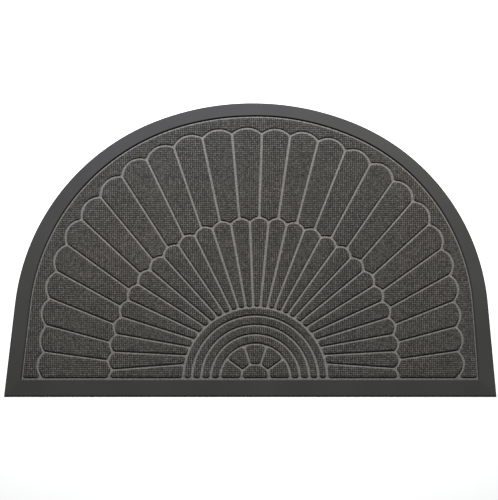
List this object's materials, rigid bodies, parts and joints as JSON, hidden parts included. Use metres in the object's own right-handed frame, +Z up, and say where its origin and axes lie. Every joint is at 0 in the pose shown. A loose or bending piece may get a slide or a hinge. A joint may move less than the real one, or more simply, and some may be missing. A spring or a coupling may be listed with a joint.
{
  "type": "half round doormat",
  "caption": "Half round doormat with a ramped rubber border and a cloth face pressed with a scalloped sunburst of petals, rings and a small fan.",
  "frame": {"origin": "middle of the box around the mat, on the surface that the mat lies on", "axes": "+X along the straight edge, +Y from the straight edge toward the round side, +Z up out of the cloth face"},
  "size_m": [0.762, 0.454, 0.0063],
  "materials": {
    "rubber": "matt dark grey moulded rubber",
    "cloth": "coarse square weave, dark warm grey, with pale pressed grooves"
  },
  "bodies": {
    "root": {"rubber_base": "rubber", "face_cloth": "cloth"}
  },
  "joints": []
}
